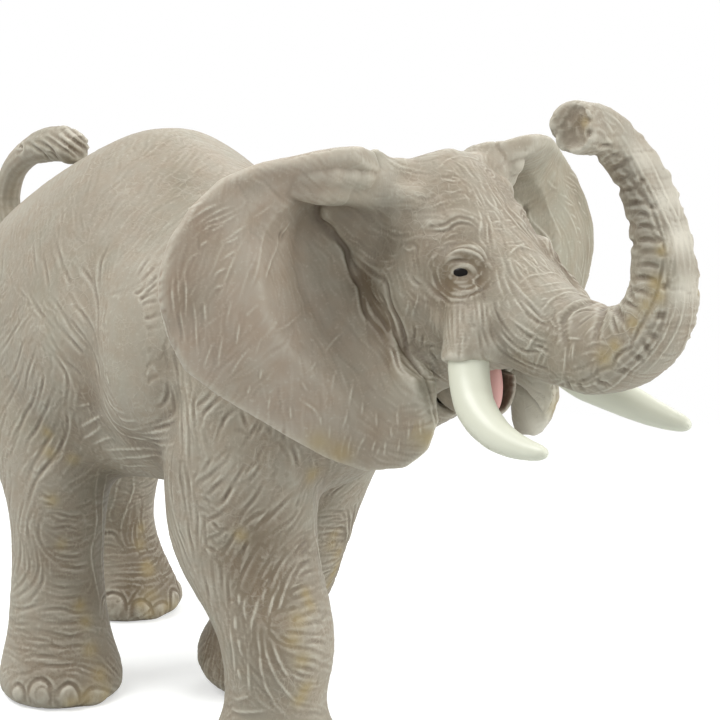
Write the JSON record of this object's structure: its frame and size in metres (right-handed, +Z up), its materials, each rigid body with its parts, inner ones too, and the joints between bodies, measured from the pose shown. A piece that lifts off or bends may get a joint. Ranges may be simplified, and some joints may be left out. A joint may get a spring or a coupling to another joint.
{
  "type": "toy wild animal figure",
  "caption": "Moulded toy African elephant in a walking pose, with a raised curled trunk, spread ears, curved tusks and an upturned tufted tail.",
  "frame": {"origin": "on the ground, under the middle of the figure's bounding box", "axes": "+X forward along the animal, +Y to the animal's left, +Z up"},
  "size_m": [0.1922, 0.0982, 0.1249],
  "materials": {
    "hide": "hand-painted taupe grey, darker wash in the creases and a lighter dry brush on the wrinkles",
    "ear_skin": "hand-painted pinkish grey-brown with a paler rim",
    "ivory": "satin cream ivory",
    "tongue": "satin pink",
    "eye": "glossy near-black"
  },
  "bodies": {
    "root": {"right_body_shell": "hide", "left_body_shell": "hide", "right_rear_leg": "hide", "right_front_leg": "hide", "left_rear_leg": "hide", "left_front_leg": "hide", "head": "hide", "trunk": "hide", "left_ear": "ear_skin", "right_ear": "ear_skin", "lower_jaw": "hide", "tongue": "tongue", "left_tusk": "ivory", "right_tusk": "ivory", "left_eye": "eye", "right_eye": "eye", "tail": "hide"}
  },
  "joints": []
}
